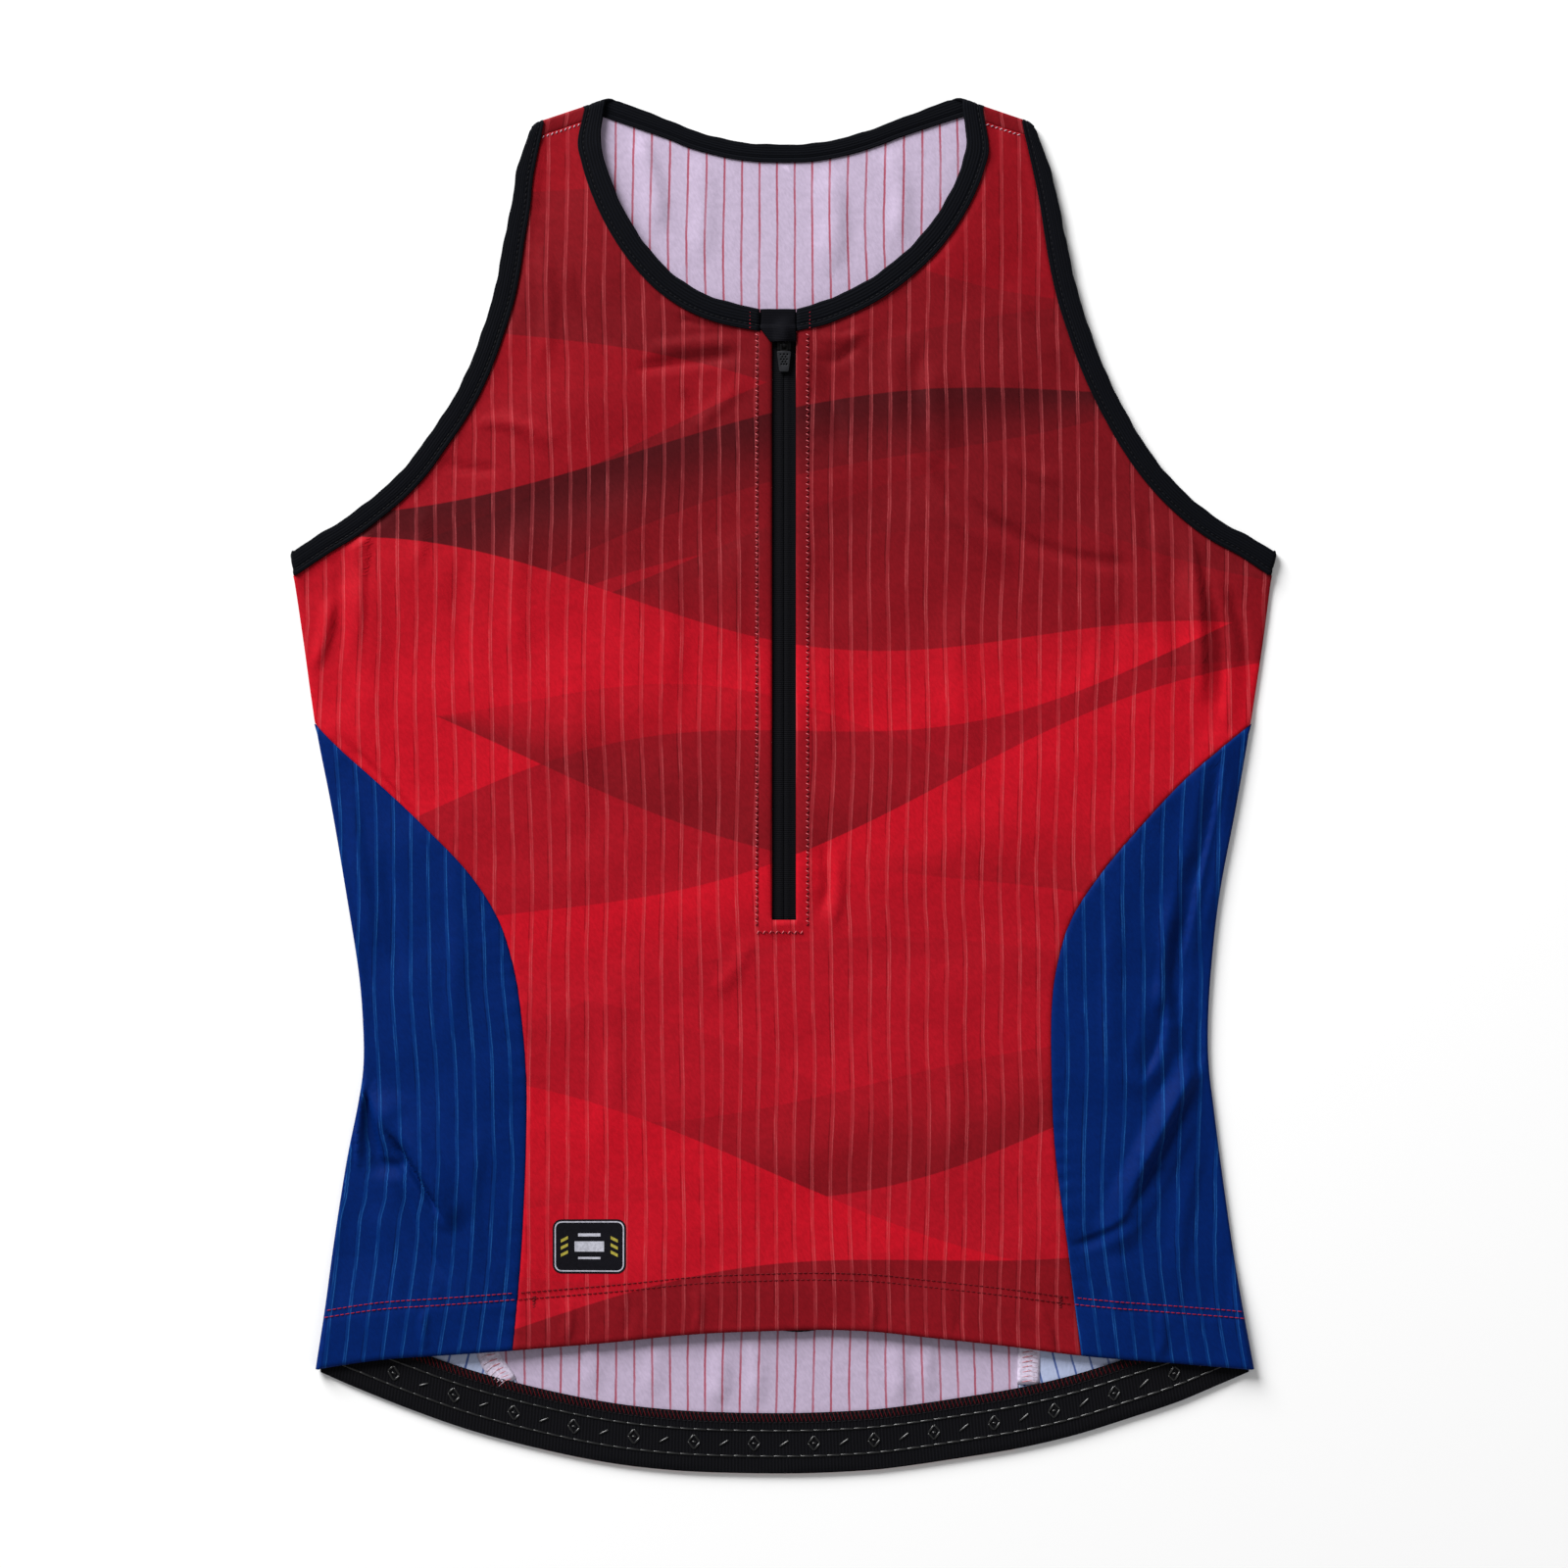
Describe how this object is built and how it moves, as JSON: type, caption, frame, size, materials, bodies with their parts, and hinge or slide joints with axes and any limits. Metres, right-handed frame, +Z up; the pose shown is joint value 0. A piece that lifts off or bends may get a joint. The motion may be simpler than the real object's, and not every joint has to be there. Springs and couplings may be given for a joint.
{
  "type": "triathlon top, sleeveless, laid flat",
  "caption": "Sleeveless zip-front triathlon top in printed stretch knit, lying flat front up, with rib bindings and an elastic band inside a dropped back hem.",
  "frame": {"origin": "centre of the laid-out garment's box, on the surface that it lies on", "axes": "+Y towards the neck, +X to the right seen from above the front, +Z up out of the front"},
  "size_m": [0.4439, 0.6197, 0.0086],
  "materials": {
    "red_print": "matte printed stretch knit with pinstripes",
    "blue_print": "matte printed stretch knit with pinstripes",
    "black_rib": "matte folded rib",
    "black_tape": "woven tape",
    "black_elastic": "elastic band with glossy grip lines",
    "dark_plastic": "satin",
    "dark_metal": "black lacquer"
  },
  "bodies": {
    "garment": {"front_panel": "red_print", "back_panel": "red_print", "side_panel_left": "blue_print", "side_panel_right": "blue_print", "neck_binding": "black_rib", "armhole_binding_left": "black_rib", "armhole_binding_right": "black_rib", "hem_band": "black_elastic", "zip_tape_left": "black_tape", "zip_tape_right": "black_tape", "zip_garage": "black_tape", "zip_chain": "dark_plastic", "zip_slider": "dark_metal"},
    "zip_pull": {"zip_pull": "dark_plastic"}
  },
  "joints": [
    {"name": "pull_swing", "type": "hinge", "parent": "garment", "child": "zip_pull", "pos_m": [0, 0.197, 0.00595], "axis": [-1, 0, 0], "range_deg": [0, 90]}
  ]
}
